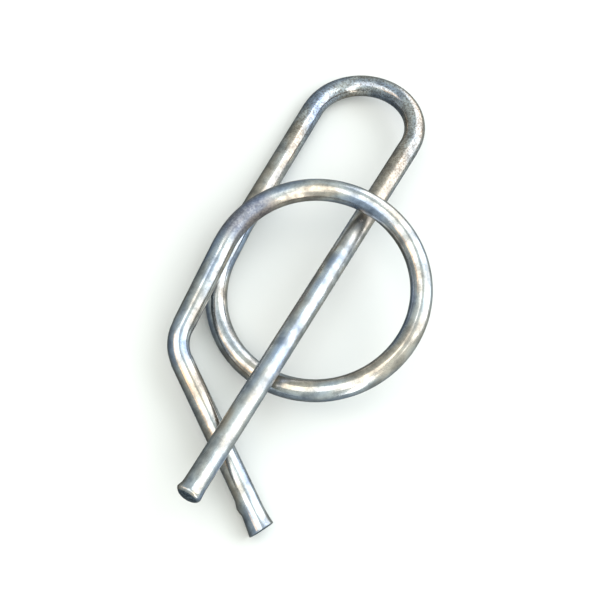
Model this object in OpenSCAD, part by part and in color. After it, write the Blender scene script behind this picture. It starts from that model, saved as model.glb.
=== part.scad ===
// Locking ring cotter pin: one length of round spring wire, bent cold.
//
// The wire is drawn the way a wire bender makes it, as a list of moves. Each move
// rolls the wire and then feeds a straight or bends an arc, and starts where the
// move before it ended, so the sections are always tangent to each other.
//
// Frame: +Z up, the pin lying on a table whose top is z = 0. The straight leg runs
// along X with its free end at -X, and the origin is under the middle of the pin.

/* [Wire] */
// Diameter of the wire
wire_d = 2.4; // [2:0.1:2.8]
// Radius worn on the rim of the straight leg's free end
rim_radius = 0.4; // [0.2:0.05:0.6]

/* [Hairpin] */
// Straight leg, from its free end to the hairpin bend
leg_length = 48.5; // [46:0.1:58]
// Distance between the two legs where they leave the hairpin bend
leg_spacing = 12.1; // [11.5:0.1:12.8]
// Turn of the hairpin bend, which closes the legs a little towards the ring
hairpin_turn = 182.8; // [180:0.1:183.5]
// Return leg, from the hairpin bend to the kick
return_length = 17.5; // [15:0.1:23]
// Centreline radius of the kick between the return leg and the ring
kick_r = 5.5; // [4.5:0.1:7.5]

/* [Ring] */
// Inside diameter of the ring
ring_inner_d = 19.4; // [18.4:0.1:20.2]
// Turn past one full circle, before the wire runs straight over itself
ring_overrun = 0.5; // [0.5:0.5:5]
// Clear gap where the wire crosses itself
cross_gap = 0.6; // [0.58:0.01:0.9]

/* [Tail] */
// Straight from the ring to the tail bend
tail_lead = 9.9; // [8.4:0.1:11.4]
// Centreline radius of the tail bend
tail_bend_r = 4.2; // [3.2:0.1:4.8]
// Angle of the tail bend
tail_turn = 50.5; // [46:0.5:56]
// How far the tail bend is rolled down, to pass under the straight leg
tail_dip = 5; // [3:0.5:8]
// Tail, from its bend to its free end
tail_length = 19.3; // [14:0.1:22]
// How much wider the shears left the tail's free end, on the radius
shear_flare = 0.2; // [0.05:0.05:0.3]

/* [Hidden] */
$fn = 96;
STEEL = [0.78, 0.79, 0.8];
HALF_TURN = 180;
// the ends of the wire that a straight can carry
NO_END = 0;
ROUND_START = 1;
SHEARED_END = 2;
// length over which the sheared end flares
FLARE_RUN = 2.2;
// how far past its end a bend is drawn before it is cut square
SPARE_TURN = 4;
// the steepest that two crossing wires slope across each other
CROSS_SLOPE = 19;
// how the pin settles on a table: the turns about X and Y of the hairpin's plane
REST_ROLL = -15.09;
REST_PITCH = 2.38;

// Angles are moved by up to a fiftieth of a degree, to ones whose sine and cosine
// still make a unit vector when they are written to six figures. The sections
// then meet exactly in the exported solid.
NUDGE = 0.0002;
NUDGES = 100;
FIGURES = 6;
function rounded(x) =
    let (scale = pow(10, FIGURES - 1 - floor(log(abs(x)))))
    round(x * scale) / scale;
function miss(angle) = abs(pow(rounded(cos(angle)), 2) + pow(rounded(sin(angle)), 2) - 1);
function exact(angle) =
    let (
        tries = [for (k = [-NUDGES:NUDGES]) angle + k * NUDGE],
        misses = [for (a = tries) miss(a)]
    )
    tries[search(min(misses), misses)[0]];

wire_r = wire_d / 2;
hairpin_r = leg_spacing / 2;
ring_r = (ring_inner_d + wire_d) / 2;
// height between two centrelines that cross, for the clear gap on the slope
lift = (wire_d + cross_gap) / cos(CROSS_SLOPE);
// the straight leg is this high over the ring at one side, and half of it under
// the level ring at the other, where the rolled half is half of it above
hairpin_tilt = exact(atan(1.5 * lift / (2 * ring_r)));
// the return leg reaches the ring's level this far before the ring begins
kick_reach = ring_r / 3;
kick_run = kick_reach - kick_r * tan(hairpin_tilt / 2);
hairpin_bend = exact(hairpin_turn);

// the ring's centre, in plan and seen from the straight leg's free end
back = [cos(hairpin_bend), sin(hairpin_bend)];
inward = [-sin(hairpin_bend), cos(hairpin_bend)];
hairpin_centre = [leg_length, hairpin_r];
back_length = return_length + kick_r * tan(hairpin_tilt / 2) + kick_reach * cos(hairpin_tilt);
ring_centre = hairpin_centre + back_length * back + (ring_r - hairpin_r) * inward;
// the ring's second half is rolled up, to pass over the leg and over its own start
ring_roll = exact(asin(lift / 2 / (ring_r - ring_centre[1])));

// One move is [roll, radius, amount, end]: a radius of 0 feeds "amount" of straight
// wire, and any other radius bends the centreline to it by "amount" degrees.
MOVES = [
    [0, 0, leg_length, ROUND_START],
    [0, hairpin_r, hairpin_bend, NO_END],
    [0, 0, return_length, NO_END],
    [-90, kick_r, hairpin_tilt, NO_END],
    [90, 0, kick_run, NO_END],
    [0, ring_r, HALF_TURN, NO_END],
    [ring_roll, ring_r, exact(HALF_TURN + ring_overrun), NO_END],
    [0, 0, tail_lead, NO_END],
    [-exact(tail_dip), tail_bend_r, exact(tail_turn), NO_END],
    [0, 0, tail_length, SHEARED_END]
];

// the middle of the pin in plan, which goes over the origin
near_side = ring_centre[1] - ring_r - wire_r;
far_side = leg_spacing + wire_r;
middle = [(leg_length + hairpin_r + wire_r) / 2, (near_side + far_side) / 2];

// the lowest point of the hairpin bend, which touches the table
bend_x = hairpin_centre[0] - middle[0];
bend_y = hairpin_centre[1] - middle[1];
rest_slope = acos(cos(REST_ROLL) * cos(REST_PITCH));
bend_z = bend_y * sin(REST_ROLL) * cos(REST_PITCH) - bend_x * sin(REST_PITCH);
table_depth = wire_r + hairpin_r * sin(rest_slope) - bend_z;

// half of the straight's outline, turned round the wire's axis
module straight_outline(length, end) {
    if (end == ROUND_START) {
        square([wire_r - rim_radius, length]);
        translate([0, rim_radius])
            square([wire_r, length - rim_radius]);
        intersection() {
            translate([wire_r - rim_radius, rim_radius])
                circle(r = rim_radius);
            square([wire_r, rim_radius]);
        }
    }
    if (end == SHEARED_END)
        polygon([
            [0, 0], [wire_r, 0], [wire_r, length - FLARE_RUN],
            [wire_r + shear_flare, length], [0, length]
        ]);
}

module straight(length, end) {
    rotate([0, 90, 0])
        if (end == NO_END)
            cylinder(r = wire_r, h = length);
        else
            rotate_extrude()
                straight_outline(length, end);
}

// moves to the end of a bend
module past_bend(radius, turn) {
    translate([0, radius, 0])
        rotate([0, 0, turn])
            translate([0, -radius, 0])
                children();
}

module bend(radius, turn) {
    difference() {
        translate([0, radius, 0])
            rotate([0, 0, -90])
                rotate_extrude(angle = turn + SPARE_TURN)
                    translate([radius, 0, 0])
                        circle(r = wire_r);
        past_bend(radius, turn)
            translate([0, -wire_d, -wire_d])
                cube(2 * wire_d);
    }
}

module wire_from(i) {
    roll = MOVES[i][0];
    radius = MOVES[i][1];
    amount = MOVES[i][2];
    rotate([roll, 0, 0]) {
        if (radius == 0) {
            straight(amount, MOVES[i][3]);
            if (i < len(MOVES) - 1)
                translate([amount, 0, 0])
                    wire_from(i + 1);
        } else {
            bend(radius, amount);
            past_bend(radius, amount)
                wire_from(i + 1);
        }
    }
}

module pin() {
    color(STEEL)
        translate([0, 0, table_depth])
            rotate([REST_ROLL, REST_PITCH, 0])
                translate([-middle[0], -middle[1], 0])
                    wire_from(0);
}

pin();
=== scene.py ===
"""Locking ring cotter pin: one length of zinc-plated spring wire, bent cold, lying on a table.

The centre line is walked move by move, as a wire bender feeds and bends it, and a
Geometry Nodes tree draws the wire along it, with its worn and its sheared end.
Sizes are in millimetres until they reach Blender, which works in metres, and angles are
in degrees.
"""

import math

import bpy
from mathutils import Euler, Matrix, Vector


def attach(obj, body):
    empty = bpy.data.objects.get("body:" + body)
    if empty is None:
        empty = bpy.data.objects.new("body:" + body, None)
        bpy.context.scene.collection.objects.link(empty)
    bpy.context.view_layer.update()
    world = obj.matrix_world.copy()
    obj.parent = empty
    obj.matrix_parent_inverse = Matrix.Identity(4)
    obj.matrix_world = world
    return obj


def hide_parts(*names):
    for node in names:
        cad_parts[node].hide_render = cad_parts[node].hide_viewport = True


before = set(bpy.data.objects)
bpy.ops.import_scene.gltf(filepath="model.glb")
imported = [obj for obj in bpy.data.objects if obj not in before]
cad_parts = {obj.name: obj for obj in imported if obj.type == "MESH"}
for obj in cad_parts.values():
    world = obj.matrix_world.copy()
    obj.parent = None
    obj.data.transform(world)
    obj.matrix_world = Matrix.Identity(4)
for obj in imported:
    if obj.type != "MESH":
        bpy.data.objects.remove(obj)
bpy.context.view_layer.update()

MM = 0.001

# ---------------------------------------------------------------- driving sizes

# the turns are the solid's, which are up to a fiftieth of a degree off the round ones
WIRE_D = 2.4
LEG_LENGTH = 48.5
LEG_SPACING = 12.1
HAIRPIN_TURN = 182.814
RETURN_LENGTH = 17.5
KICK_R = 5.5
RING_INNER_D = 19.4
RING_OVERRUN = 0.506
CROSS_GAP = 0.6
CROSS_SLOPE = 19.0
TAIL_LEAD = 9.9
TAIL_BEND_R = 4.2
TAIL_TURN = 50.487
TAIL_DIP = 5.0
TAIL_LENGTH = 19.3
# how the pin settles on the table: the turns about X and Y of the hairpin's plane
REST_ROLL = -15.09
REST_PITCH = 2.38

# The leg's free end is worn into a low dome. Its squareness is 2 for a round dome and more
# for a boxy one, and the wire swells towards it.
WORN_DEPTH = 0.66
WORN_SQUARENESS = 2.4
WORN_SWELL = 0.09
SWELL_RUN = 1.6
WORN_STEPS = 20
# the first ring of the dome is this share of a step away from its tip
TIP_SHARE = 0.3

# The shears flared the tail's free end on the radius, and left its face a little crowned,
# with a small round rim.
FLARE_RUN = 2.2
SHEAR_FLARE = 0.2
SHEAR_RIM = 0.16
SHEAR_CROWN = 0.04
RIM_STEPS = 7
CUT_RINGS = 8
# The face is out of square by this slope, and cut back the most on the side away from
# LEAN_SIDE. The lean starts this far before the face, and is full at the end of its run.
SHEAR_LEAN = 0.12
LEAN_SIDE = Vector((-0.86, 0.5, -0.1))
LEAN_START = 1.2
LEAN_RUN = 1.0
TORN_DEPTH = 0.05
TORN_GRAIN = 0.4

# small burrs near the wire's ends: where along the wire, on which side, and how big
LEG_BURR_ALONG = 0.5
LEG_BURR_SIDE = Vector((0, 0.9, 0.43))
TAIL_BURR_BACK = 3.4
BURR_HEIGHT = 0.2
BURR_SIZE = 0.8

# How far bending flattens the outside of a bend: by this share of the wire's radius if the
# bend's radius were the wire's own, and by less as the bend widens. A higher power makes the
# flat strip narrower, and the inside of the bend flattens by a share of the outside's.
BEND_FLATTENING = 0.15
STRIP_POWER = 3.0
INSIDE_SHARE = 0.4
# drawn and bent wire is never quite even
RIPPLE_DEPTH = 0.012
RIPPLE_SPACING = 1.3

# how finely the wire is drawn
STRAIGHT_STEP = 0.4
BEND_STEP = 0.3
FEWEST_BEND_STEPS = 3
WIRE_SIDES = 48

WIRE_R = WIRE_D / 2
HAIRPIN_R = LEG_SPACING / 2
RING_R = (RING_INNER_D + WIRE_D) / 2


def sin_d(angle):
    return math.sin(math.radians(angle))


def cos_d(angle):
    return math.cos(math.radians(angle))


def tan_d(angle):
    return math.tan(math.radians(angle))


# The crossings: LIFT is the height between two centre lines that cross. The leg is that far
# over the ring at one side, and half as far under the level ring at the other, where the rolled
# half of the ring is half of it above.
LIFT = (WIRE_D + CROSS_GAP) / cos_d(CROSS_SLOPE)
HAIRPIN_TILT = math.degrees(math.atan(1.5 * LIFT / (2 * RING_R)))
KICK_REACH = RING_R / 3
KICK_RUN = KICK_REACH - KICK_R * tan_d(HAIRPIN_TILT / 2)
BACK_LENGTH = RETURN_LENGTH + KICK_R * tan_d(HAIRPIN_TILT / 2) + KICK_REACH * cos_d(HAIRPIN_TILT)
RING_CENTRE_Y = (
    HAIRPIN_R + BACK_LENGTH * sin_d(HAIRPIN_TURN) + (RING_R - HAIRPIN_R) * cos_d(HAIRPIN_TURN)
)
RING_ROLL = math.degrees(math.asin(LIFT / 2 / (RING_R - RING_CENTRE_Y)))

# One move is (roll, radius, amount): a radius of 0 feeds that much straight wire, and
# any other radius bends the centre line to it by that many degrees.
MOVES = (
    (0, 0, LEG_LENGTH),
    (0, HAIRPIN_R, HAIRPIN_TURN),
    (0, 0, RETURN_LENGTH),
    (-90, KICK_R, HAIRPIN_TILT),
    (90, 0, KICK_RUN),
    (0, RING_R, 180),
    (RING_ROLL, RING_R, 180 + RING_OVERRUN),
    (0, 0, TAIL_LEAD),
    (-TAIL_DIP, TAIL_BEND_R, TAIL_TURN),
    (0, 0, TAIL_LENGTH),
)

# how far along the wire the middle of the hairpin bend and the end of the ring are
HAIRPIN_MIDDLE = LEG_LENGTH + HAIRPIN_R * math.radians(HAIRPIN_TURN) / 2
RING_START = (
    LEG_LENGTH
    + HAIRPIN_R * math.radians(HAIRPIN_TURN)
    + RETURN_LENGTH
    + KICK_R * math.radians(HAIRPIN_TILT)
    + KICK_RUN
)
RING_END = RING_START + RING_R * math.radians(360 + RING_OVERRUN)

# the pin's place on the table
MIDDLE_X = (LEG_LENGTH + HAIRPIN_R + WIRE_R) / 2
MIDDLE_Y = (RING_CENTRE_Y - RING_R + LEG_SPACING) / 2
REST_SLOPE = math.acos(cos_d(REST_ROLL) * cos_d(REST_PITCH))
BEND_DROP = (HAIRPIN_R - MIDDLE_Y) * sin_d(REST_ROLL) * cos_d(REST_PITCH) - (
    LEG_LENGTH - MIDDLE_X
) * sin_d(REST_PITCH)
TABLE_DEPTH = WIRE_R + HAIRPIN_R * math.sin(REST_SLOPE) - BEND_DROP
AT_REST = (
    Matrix.Translation((0, 0, TABLE_DEPTH))
    @ Euler((math.radians(REST_ROLL), math.radians(REST_PITCH), 0)).to_matrix().to_4x4()
    @ Matrix.Translation((-MIDDLE_X, -MIDDLE_Y, 0))
)


# ---------------------------------------------------------------- the wire's route


class Station:
    """One place along the wire. bend is the wire's radius over the bend's, inside points to the
    bend's centre, and cut goes from 0 on the wire's side to 1 on an end face."""

    def __init__(self, place, tangent, inside, bend, along, radius, cut=0.0):
        self.place = place
        self.tangent = tangent
        self.inside = inside
        self.bend = bend
        self.along = along
        self.radius = radius
        self.cut = cut


def turn(angle, axis):
    return Matrix.Rotation(math.radians(angle), 4, axis)


def straight_stations(here, length, along):
    """Stations along a straight, from its start and short of its end."""
    count = max(1, round(length / STRAIGHT_STEP))
    for k in range(count):
        run = length * k / count
        place = here @ Vector((run, 0, 0))
        yield Station(place, here.col[0].xyz, Vector(), 0.0, along + run, WIRE_R)


def bend_stations(here, radius, amount, along):
    """Stations round a bend, from its start and short of its end."""
    length = radius * math.radians(amount)
    count = max(FEWEST_BEND_STEPS, round(length / BEND_STEP))
    for k in range(count):
        angle = amount * k / count
        tangent = here.to_3x3() @ Vector((cos_d(angle), sin_d(angle), 0))
        inside = here.to_3x3() @ Vector((-sin_d(angle), cos_d(angle), 0))
        place = here @ Vector((radius * sin_d(angle), radius * (1 - cos_d(angle)), 0))
        yield Station(place, tangent, inside, WIRE_R / radius, along + length * k / count, WIRE_R)


def wire_stations():
    """Walks the moves and gives the stations of the whole wire, with plain ends."""
    here = AT_REST.copy()
    along = 0.0
    stations = []
    for roll, radius, amount in MOVES:
        here = here @ turn(roll, "X")
        if radius == 0:
            stations += straight_stations(here, amount, along)
            here = here @ Matrix.Translation((amount, 0, 0))
            along += amount
        else:
            stations += bend_stations(here, radius, amount, along)
            centre = Matrix.Translation((0, radius, 0))
            here = here @ centre @ turn(amount, "Z") @ centre.inverted()
            along += radius * math.radians(amount)
    stations.append(Station(here.translation, here.col[0].xyz, Vector(), 0.0, along, WIRE_R))
    return stations


def worn_end(stations):
    """Gives the leg's free end its dome and its swell."""
    first = stations[0]
    rounded = []
    for k in range(WORN_STEPS):
        angle = 90 * (k + TIP_SHARE) / WORN_STEPS
        radius = (WIRE_R + WORN_SWELL) * sin_d(angle) ** (2 / WORN_SQUARENESS)
        run = WORN_DEPTH * (1 - cos_d(angle) ** (2 / WORN_SQUARENESS))
        place = first.place + first.tangent * run
        cut = 1.0 - run / WORN_DEPTH
        rounded.append(Station(place, first.tangent, Vector(), 0.0, run, radius, cut))
    for s in stations:
        s.radius += WORN_SWELL * max(0.0, 1 - (s.along - WORN_DEPTH) / SWELL_RUN) ** 2
    return rounded + [s for s in stations if s.along >= WORN_DEPTH]


def sheared_end(stations):
    """Flares the tail's free end and gives it a face with a small rim."""
    last = stations[-1]
    wire_length = last.along
    full_r = WIRE_R + SHEAR_FLARE
    for s in stations:
        spread = max(0.0, s.along - wire_length + FLARE_RUN) / FLARE_RUN
        s.radius += SHEAR_FLARE * spread
    ends = []
    for k in range(RIM_STEPS):
        angle = 90 * k / RIM_STEPS
        back = SHEAR_CROWN + SHEAR_RIM * (1 - sin_d(angle))
        ends.append((back, full_r - SHEAR_RIM * (1 - cos_d(angle)), k / RIM_STEPS))
    for k in range(CUT_RINGS):
        share = 1 - (k + 0.5) / CUT_RINGS
        ends.append((SHEAR_CROWN * share**2, (full_r - SHEAR_RIM) * share, 1.0))
    faced = []
    for back, radius, cut in ends:
        place = last.place - last.tangent * back
        faced.append(Station(place, last.tangent, Vector(), 0.0, wire_length - back, radius, cut))
    kept_length = wire_length - SHEAR_CROWN - SHEAR_RIM - STRAIGHT_STEP / 4
    return [s for s in stations if s.along < kept_length] + faced


def burr_place(stations, along, side):
    """The point on the wire's surface at that length along it, on that side, in metres."""
    nearest = min(stations, key=lambda s: abs(s.along - along))
    return (nearest.place + side * WIRE_R) * MM


def route_object(stations):
    """The centre line as a chain of edges that carries what the wire needs at each station."""
    mesh = bpy.data.meshes.new("cotter_pin_route")
    places = [s.place * MM for s in stations]
    mesh.from_pydata(places, [(k, k + 1) for k in range(len(places) - 1)], [])
    numbers = {
        "along": [s.along * MM for s in stations],
        "wire_radius": [s.radius * MM for s in stations],
        "bend": [s.bend for s in stations],
        "cut": [s.cut for s in stations],
    }
    arrows = {
        "centre": places,
        "run": [s.tangent for s in stations],
        "inside": [s.inside for s in stations],
    }
    for name, values in numbers.items():
        mesh.attributes.new(name, "FLOAT", "POINT").data.foreach_set("value", values)
    for name, values in arrows.items():
        flat = [c for v in values for c in v]
        mesh.attributes.new(name, "FLOAT_VECTOR", "POINT").data.foreach_set("vector", flat)
    route = bpy.data.objects.new("cotter_pin_route", mesh)
    bpy.context.collection.objects.link(route)
    return route


# ---------------------------------------------------------------- nodes


def linear(hex_colour):
    """An sRGB hex colour as Blender's linear RGBA."""
    channels = [int(hex_colour[k : k + 2], 16) / 255 for k in (1, 3, 5)]
    return [c / 12.92 if c <= 0.04045 else ((c + 0.055) / 1.055) ** 2.4 for c in channels] + [1.0]


def add(tree, kind, *sources, out=0, stops=(), **settings):
    """Adds a node and gives the output that out names. sources go to its sockets in order, and
    settings to its properties, or to its sockets by number as in_0. An output is linked, any
    other value is set, and None leaves a socket as it is. stops are a ramp's positions and
    hex colours."""
    node = tree.nodes.new(kind)
    sockets = dict(enumerate(sources))
    for name, value in settings.items():
        if name.startswith("in_"):
            sockets[int(name[3:])] = value
        else:
            setattr(node, name, value)
    for number, source in sockets.items():
        if isinstance(source, bpy.types.NodeSocket):
            tree.links.new(source, node.inputs[number])
        elif source is not None:
            node.inputs[number].default_value = source
    if stops:
        elements = node.color_ramp.elements
        while len(elements) < len(stops):
            elements.new(0.5)
        for element, (position, colour) in zip(elements, stops):
            element.position = position
            element.color = linear(colour)
    return node.outputs[out] if len(node.outputs) else None


MATHS = "ShaderNodeMath"
VECTORS = "ShaderNodeVectorMath"
NOISE = "ShaderNodeTexNoise"
RAMP = "ShaderNodeValToRGB"
RANGE = "ShaderNodeMapRange"
NAMED = "GeometryNodeInputNamedAttribute"
STORE = "GeometryNodeStoreNamedAttribute"
MOVE = "GeometryNodeSetPosition"


# ---------------------------------------------------------------- the wire's shape


def wire_tree():
    """Sweeps round wire along the route, flattens its bends, and finishes its two ends."""
    tree = bpy.data.node_groups.new("bent spring wire", "GeometryNodeTree")
    inputs = (
        ("Route", "NodeSocketGeometry"),
        ("Sides", "NodeSocketInt"),
        ("Bend flattening", "NodeSocketFloat"),
        ("Ripple depth", "NodeSocketFloat"),
        ("Ripple spacing", "NodeSocketFloat"),
        ("Shear lean", "NodeSocketFloat"),
        ("Lean side", "NodeSocketVector"),
        ("Lean start", "NodeSocketFloat"),
        ("Lean run", "NodeSocketFloat"),
        ("Flared radius", "NodeSocketFloat"),
        ("Leg burr place", "NodeSocketVector"),
        ("Tail burr place", "NodeSocketVector"),
        ("Burr height", "NodeSocketFloat"),
        ("Burr size", "NodeSocketFloat"),
        ("Torn depth", "NodeSocketFloat"),
        ("Torn grain", "NodeSocketFloat"),
        ("Bare from", "NodeSocketFloat"),
        ("Zinc plate", "NodeSocketMaterial"),
        ("Cut face", "NodeSocketMaterial"),
    )
    for name, kind in inputs:
        tree.interface.new_socket(name, in_out="INPUT", socket_type=kind)
    tree.interface.new_socket("Wire", in_out="OUTPUT", socket_type="NodeSocketGeometry")
    given = add(tree, "NodeGroupInput").node.outputs

    # what the route carries at each station
    position = add(tree, "GeometryNodeInputPosition")
    along = add(tree, NAMED, "along")
    radius = add(tree, NAMED, "wire_radius")
    bend = add(tree, NAMED, "bend")
    cut = add(tree, NAMED, "cut")
    centre = add(tree, NAMED, "centre", data_type="FLOAT_VECTOR")
    run = add(tree, NAMED, "run", data_type="FLOAT_VECTOR")
    inside = add(tree, NAMED, "inside", data_type="FLOAT_VECTOR")
    spoke = add(tree, VECTORS, position, centre, operation="SUBTRACT")

    # the wire itself, with where each point sat in the straight wire before it was bent
    line = add(tree, "GeometryNodeMeshToCurve", given["Route"])
    circle = add(tree, "GeometryNodeCurvePrimitiveCircle", given["Sides"], in_4=1.0)
    section = add(tree, STORE, circle, None, "section", position, data_type="FLOAT_VECTOR")
    swept = add(tree, "GeometryNodeCurveToMesh", line, section, radius, True)
    across = add(tree, NAMED, "section", data_type="FLOAT_VECTOR")
    across = add(tree, VECTORS, across, in_3=radius, operation="SCALE")
    across = add(tree, "ShaderNodeSeparateXYZ", across).node.outputs
    before = add(tree, "ShaderNodeCombineXYZ", along, across[0], across[1])
    known = add(tree, STORE, swept, None, "unbent", before, data_type="FLOAT_VECTOR")
    unbent = add(tree, NAMED, "unbent", data_type="FLOAT_VECTOR")

    # cold bending flattens the outside of a bend, and a little of its inside
    outwards = add(tree, VECTORS, spoke, operation="NORMALIZE")
    facing = add(tree, VECTORS, outwards, inside, operation="DOT_PRODUCT", out=1)
    strip = add(tree, MATHS, facing, operation="ABSOLUTE")
    strip = add(tree, MATHS, strip, STRIP_POWER, operation="POWER")
    outside = add(tree, MATHS, facing, 0.0, operation="LESS_THAN")
    share = add(tree, MATHS, outside, 1 - INSIDE_SHARE, INSIDE_SHARE, operation="MULTIPLY_ADD")
    sunk = add(tree, MATHS, bend, given["Bend flattening"], operation="MULTIPLY")
    for factor in (radius, strip, share):
        sunk = add(tree, MATHS, sunk, factor, operation="MULTIPLY")

    # a faint ripple, and the burrs
    per_ripple = add(tree, MATHS, 1.0, given["Ripple spacing"], operation="DIVIDE")
    ripple = add(tree, NOISE, unbent, None, per_ripple, 2.0, 0.5)
    sunk = add(tree, MATHS, ripple, given["Ripple depth"], sunk, operation="MULTIPLY_ADD")
    for burr in ("Leg burr place", "Tail burr place"):
        away = add(tree, VECTORS, position, given[burr], operation="DISTANCE", out=1)
        away = add(tree, MATHS, away, given["Burr size"], operation="DIVIDE")
        rise = add(tree, RANGE, away, 0.0, 1.0, -1.0, 0.0, interpolation_type="SMOOTHSTEP")
        sunk = add(tree, MATHS, rise, given["Burr height"], sunk, operation="MULTIPLY_ADD")
    sunk = add(tree, MATHS, sunk, -1.0, operation="MULTIPLY")
    inwards = add(tree, VECTORS, outwards, in_3=sunk, operation="SCALE")
    shaped = add(tree, MOVE, known, in_3=inwards)

    # the shears cut the tail a little out of square
    near = add(tree, MATHS, along, given["Lean start"], operation="SUBTRACT")
    near = add(tree, MATHS, near, given["Lean run"], operation="DIVIDE")
    near = add(tree, "ShaderNodeClamp", near)
    lean = add(tree, VECTORS, spoke, given["Lean side"], operation="DOT_PRODUCT", out=1)
    lean = add(tree, MATHS, lean, given["Flared radius"], operation="SUBTRACT")
    for factor in (given["Shear lean"], near):
        lean = add(tree, MATHS, lean, factor, operation="MULTIPLY")

    # both end faces are torn inwards, which is against the wire's run at the tail, where near
    # is 1, and along it at the leg's end, where near is 0
    per_grain = add(tree, MATHS, 1.0, given["Torn grain"], operation="DIVIDE")
    torn = add(tree, NOISE, unbent, None, per_grain, 3.0, 0.6)
    side = add(tree, MATHS, near, 2.0, -1.0, operation="MULTIPLY_ADD")
    for factor in (given["Torn depth"], cut, side):
        torn = add(tree, MATHS, torn, factor, operation="MULTIPLY")
    moved = add(tree, MATHS, lean, torn, operation="SUBTRACT")
    moved = add(tree, VECTORS, run, in_3=moved, operation="SCALE")
    ended = add(tree, MOVE, shaped, in_3=moved)

    smooth = add(tree, "GeometryNodeSetShadeSmooth", ended)
    whole = add(tree, "GeometryNodeRealizeInstances", smooth)
    plated = add(tree, "GeometryNodeSetMaterial", whole, None, given["Zinc plate"])
    on_face = add(tree, MATHS, cut, given["Bare from"], operation="GREATER_THAN")
    faced = add(tree, "GeometryNodeSetMaterial", plated, on_face, given["Cut face"])
    add(tree, "NodeGroupOutput", faced)
    return tree


def bent_wire(route, sizes):
    """Runs the wire tree on the route and returns the wire as a plain mesh object."""
    maker = route.modifiers.new("spring wire", "NODES")
    maker.node_group = wire_tree()
    for socket in maker.node_group.interface.items_tree:
        if socket.in_out == "INPUT" and socket.name in sizes:
            maker[socket.identifier] = sizes[socket.name]
    graph = bpy.context.evaluated_depsgraph_get()
    graph.update()
    mesh = bpy.data.meshes.new_from_object(route.evaluated_get(graph), depsgraph=graph)
    route.modifiers.remove(maker)
    mesh.name = "cotter_pin_wire"
    wire = bpy.data.objects.new("cotter_pin_wire", mesh)
    bpy.context.collection.objects.link(wire)
    bpy.data.objects.remove(route)
    return wire


# ---------------------------------------------------------------- finishes

# The plate's pattern sizes, in millimetres. A real die line is about 0.02 wide and a real
# speck about 0.05, and both are drawn coarser, so that they show.
PATCH_SIZE = 1.6
BATH_SIZE = 2.2
SPECK_SIZE = 0.24
DIE_LINE_SIZE = 0.35
TORN_FACE_GRAIN = 0.25
# how deep the die lines, the specks' pits and the torn grain are
DIE_LINE_DEPTH = 0.03
PIT_DEPTH = 0.02
TORN_FACE_DEPTH = 0.03
# the bath's tints and the die lines are drawn out along the wire by these scales
BATH_STRETCH = (0.3, 1.0, 1.0)
DIE_LINE_STRETCH = (0.04, 1.0, 1.0)

# how far the hairpin's stain and painted shade, the dull stretch and the satin leg each reach from
# their middle along the wire, at full strength and at their very end
STAIN_AND_SHADE_REACH = (10.0, 24.0)
DULL_REACH = (1.8, 4.6)
SATIN_REACH = (LEG_LENGTH / 2 - 10.0, LEG_LENGTH / 2 - 1.0)
# the dull stretch's middle is this far before the ring's end
DULL_BACK = 4.1


def new_material(name):
    """A material, its node tree, and the sockets of its one shader."""
    material = bpy.data.materials.new(name)
    material.use_nodes = True
    tree = material.node_tree
    tree.nodes.clear()
    shaded = add(tree, "ShaderNodeBsdfPrincipled")
    add(tree, "ShaderNodeOutputMaterial", shaded)
    return material, tree, shaded.node.inputs


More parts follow.
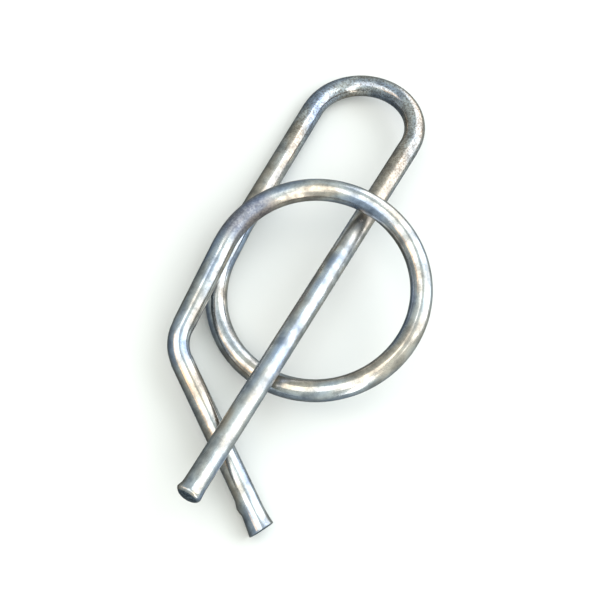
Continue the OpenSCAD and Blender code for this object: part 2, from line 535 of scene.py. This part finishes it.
def zinc_plate():
    """Bright zinc over drawn spring steel: mirror-like along the wire, with fine die lines, a
    mottle of duller crystal patches, and faint blue and straw tints from the passivating bath.
    The hairpin is finely speckled in warm grey and darkened, partly a stain and partly painted shade
    that stands in for the hairpin's dimmer light, a stretch before the ring's end is a dull lavender
    grey, and the straight leg is satin from sliding through its hole."""
    material, tree, shader = new_material("zinc-plated spring steel")
    shader["Metallic"].default_value = 1.0
    unbent = add(tree, "ShaderNodeAttribute", attribute_name="unbent", out="Vector")
    along = add(tree, "ShaderNodeSeparateXYZ", unbent)

    def close_to(middle, reach):
        """1 near that place along the wire, and 0 outside its reach."""
        off = add(tree, MATHS, along, middle * MM, operation="SUBTRACT")
        off = add(tree, MATHS, off, operation="ABSOLUTE")
        full, gone = reach
        return add(tree, RANGE, off, full * MM, gone * MM, 1.0, 0.0, interpolation_type="SMOOTHSTEP")

    # the hairpin's mask: its specks darken it partly as a stain and partly as painted shade for the
    # hairpin's dimmer light
    hairpin_stain_and_shade = close_to(HAIRPIN_MIDDLE, STAIN_AND_SHADE_REACH)
    # a stretch before the ring's end, darker lavender grey and rougher
    dull_stretch = close_to(RING_END - DULL_BACK, DULL_REACH)
    satin = close_to(LEG_LENGTH / 2, SATIN_REACH)

    # crystal patches, tinted by the bath
    patches = add(tree, NOISE, unbent, None, 1 / (PATCH_SIZE * MM), 4.0, 0.62)
    plate = add(tree, RAMP, patches, stops=((0.36, "#989c9f"), (0.62, "#cccfd0")))
    bath = add(tree, "ShaderNodeMapping", unbent, in_3=BATH_STRETCH)
    bath = add(tree, NOISE, bath, None, 1 / (BATH_SIZE * MM), 2.0, 0.5)
    tints = add(tree, RAMP, bath, stops=((0.36, "#d5e2fb"), (0.5, "#ffffff"), (0.64, "#fcebda")))
    plate = add(tree, VECTORS, plate, tints, operation="MULTIPLY")

    # warm grey specks on the hairpin, which darken it partly as a stain and partly as painted shade,
    # and a lavender grey over a stretch before the ring's end
    specks = add(tree, NOISE, unbent, None, 1 / (SPECK_SIZE * MM), 3.0, 0.6)
    specks_and_shade = add(tree, RAMP, specks, stops=((0.38, "#c6bdb6"), (0.55, "#ffffff")))
    stained_and_shaded = add(tree, VECTORS, plate, specks_and_shade, operation="MULTIPLY")
    colour = add(tree, "ShaderNodeMix", hairpin_stain_and_shade, in_6=plate, in_7=stained_and_shaded, data_type="RGBA", out=2)
    grey = add(tree, RAMP, specks, stops=((0.4, "#b4b4c6"), (0.62, "#dedee8")))
    dulled = add(tree, VECTORS, colour, grey, operation="MULTIPLY")
    colour = add(tree, "ShaderNodeMix", dull_stretch, in_6=colour, in_7=dulled, data_type="RGBA", out=2)
    tree.links.new(colour, shader["Base Color"])

    # the darker patches are the duller ones
    rough = add(tree, RANGE, patches, 0.35, 0.65, 0.26, 0.12)
    for where, rise in ((hairpin_stain_and_shade, -0.02), (dull_stretch, 0.24), (satin, 0.1)):
        rough = add(tree, MATHS, where, rise, rough, operation="MULTIPLY_ADD")
    tree.links.new(rough, shader["Roughness"])

    # die lines run along the wire, and the specks are shallow pits, a little sharper on the stained
    # and shaded hairpin
    drawn = add(tree, "ShaderNodeMapping", unbent, in_3=DIE_LINE_STRETCH)
    drawn = add(tree, NOISE, drawn, None, 1 / (DIE_LINE_SIZE * MM), 2.0, 0.5)
    lines = add(tree, "ShaderNodeBump", 0.7, DIE_LINE_DEPTH * MM, None, drawn)
    sharpness = add(tree, MATHS, hairpin_stain_and_shade, 0.08, 0.22, operation="MULTIPLY_ADD")
    pitted = add(tree, "ShaderNodeBump", sharpness, PIT_DEPTH * MM, None, specks, lines)
    tree.links.new(pitted, shader["Normal"])
    return material


def cut_face():
    """Bare steel on the wire's two ends: bluer and darker than the plate, with a torn grain."""
    material, tree, shader = new_material("sheared spring steel")
    shader["Metallic"].default_value = 1.0
    shader["Roughness"].default_value = 0.5
    unbent = add(tree, "ShaderNodeAttribute", attribute_name="unbent", out="Vector")
    grain = add(tree, NOISE, unbent, None, 1 / (TORN_FACE_GRAIN * MM), 3.0)
    tint = add(tree, RAMP, grain, stops=((0.35, "#3e4a55"), (0.7, "#7d8b97")))
    tree.links.new(tint, shader["Base Color"])
    torn = add(tree, "ShaderNodeBump", 0.5, TORN_FACE_DEPTH * MM, None, grain)
    tree.links.new(torn, shader["Normal"])
    return material


def table_top():
    """Matt white card, which scatters the light evenly."""
    material, tree, shader = new_material("matt white card")
    shader["Base Color"].default_value = linear("#d8d9d8")
    shader["Roughness"].default_value = 0.9
    return material


# ---------------------------------------------------------------- the pin

# an end face is bare steel where its cut is more than this, and plated on its rim
BARE_FROM = 0.66

stations = sheared_end(worn_end(wire_stations()))
wire_length = stations[-1].along
pin = bent_wire(
    route_object(stations),
    {
        "Sides": WIRE_SIDES,
        "Bend flattening": BEND_FLATTENING,
        "Ripple depth": RIPPLE_DEPTH * MM,
        "Ripple spacing": RIPPLE_SPACING * MM,
        "Shear lean": SHEAR_LEAN,
        "Lean side": LEAN_SIDE,
        "Lean start": (wire_length - LEAN_START) * MM,
        "Lean run": LEAN_RUN * MM,
        "Flared radius": (WIRE_R + SHEAR_FLARE) * MM,
        "Leg burr place": burr_place(stations, LEG_BURR_ALONG, LEG_BURR_SIDE),
        "Tail burr place": burr_place(stations, wire_length - TAIL_BURR_BACK, LEAN_SIDE),
        "Burr height": BURR_HEIGHT * MM,
        "Burr size": BURR_SIZE * MM,
        "Torn depth": TORN_DEPTH * MM,
        "Torn grain": TORN_GRAIN * MM,
        "Bare from": BARE_FROM,
        "Zinc plate": zinc_plate(),
        "Cut face": cut_face(),
    },
)
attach(pin, "root")
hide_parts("pin")

# ---------------------------------------------------------------- table, light and camera

# the table in metres, and how far under the pin its top is, so that the two never share a face
TABLE_SIZE = 3.0
TABLE_DROP = 0.01 * MM
table_mesh = bpy.data.meshes.new("table_top")
half = TABLE_SIZE / 2
corners = [(-half, -half, 0), (half, -half, 0), (half, half, 0), (-half, half, 0)]
table_mesh.from_pydata(corners, [], [(0, 1, 2, 3)])
table = bpy.data.objects.new("table_top", table_mesh)
table.location.z = -TABLE_DROP
table_mesh.materials.append(table_top())
bpy.context.collection.objects.link(table)
# the metal mirrors the dim room under its horizon instead of the card, which gives the wire
# its dark edges
table.visible_glossy = False


# how far the lights are from the pin, in metres
LIGHT_DISTANCE = 0.6


def softbox(name, azimuth, elevation, width, height, brightness, colour):
    """A flat light that faces the pin. Its place, width and height are in degrees seen from the
    pin, and its brightness is that of its surface, where the white card's is about 1."""
    lamp = bpy.data.lights.new(name, "AREA")
    lamp.shape = "RECTANGLE"
    lamp.size = 2 * LIGHT_DISTANCE * tan_d(width / 2)
    lamp.size_y = 2 * LIGHT_DISTANCE * tan_d(height / 2)
    lamp.energy = brightness * math.pi * lamp.size * lamp.size_y
    lamp.color = linear(colour)[:3]
    box = bpy.data.objects.new(name, lamp)
    level = cos_d(elevation)
    away = Vector((cos_d(azimuth) * level, sin_d(azimuth) * level, sin_d(elevation)))
    box.location = away * LIGHT_DISTANCE
    box.rotation_euler = away.to_track_quat("Z", "Y").to_euler()
    box.visible_camera = False
    bpy.context.collection.objects.link(box)


softbox("window", -28, 29, 82, 54, 1.75, "#f8f9ff")
softbox("window_head", -40, 63, 54, 24, 1.3, "#fbfdff")
softbox("strip_light", -132, 24, 15, 56, 2.8, "#fffaf2")
softbox("strip_light_head", -150, 58, 18, 20, 2.2, "#fffaf2")
softbox("lamp_shade", 132, 65, 40, 42, 1.8, "#fff9f0")
softbox("warm_lamp", 122, 37, 34, 12, 1.8, "#ffd0a0")

# the room's light: its level at the horizon, what it gains towards the ceiling and loses
# towards the ground, what it loses towards +Y, and the least it falls to
ROOM_LEVEL = 0.7
CEILING_GAIN = 0.5
GROUND_LOSS = 0.5
SIDE_LOSS = 0.25
DIMMEST = 0.2


def studio_walls():
    """The room: plain walls that lighten towards the ceiling and towards the side at -Y."""
    world = bpy.data.worlds.new("studio")
    world.use_nodes = True
    tree = world.node_tree
    way = add(tree, "ShaderNodeTexCoord", out="Generated")
    way = add(tree, "ShaderNodeSeparateXYZ", way).node.outputs
    up = add(tree, MATHS, way[2], 0.0, operation="MAXIMUM")
    down = add(tree, MATHS, way[2], 0.0, operation="MINIMUM")
    level = ROOM_LEVEL
    for part, gain in ((up, CEILING_GAIN), (down, GROUND_LOSS), (way[1], -SIDE_LOSS)):
        level = add(tree, MATHS, part, gain, level, operation="MULTIPLY_ADD")
    level = add(tree, MATHS, level, DIMMEST, operation="MAXIMUM")
    background = tree.nodes["Background"]
    background.inputs[0].default_value = linear("#e6f1ef")
    tree.links.new(level, background.inputs[1])
    return world


bpy.context.scene.world = studio_walls()
bpy.context.scene.view_settings.view_transform = "Standard"

CAMERA_PLACE = Vector((-64.783, -4.735, 138.291)) * MM
CAMERA_TURN = (22.685, -10.944, -60.16)
# the lens and the sensor in millimetres, and the nearest distance drawn in metres
LENS = 85.68
SENSOR_WIDTH = 36.0
NEAREST = 0.01
lens = bpy.data.cameras.new("camera")
lens.lens = LENS
lens.sensor_width = SENSOR_WIDTH
lens.clip_start = NEAREST
camera = bpy.data.objects.new("camera", lens)
camera.location = CAMERA_PLACE
camera.rotation_euler = [math.radians(a) for a in CAMERA_TURN]
bpy.context.collection.objects.link(camera)
bpy.context.scene.camera = camera
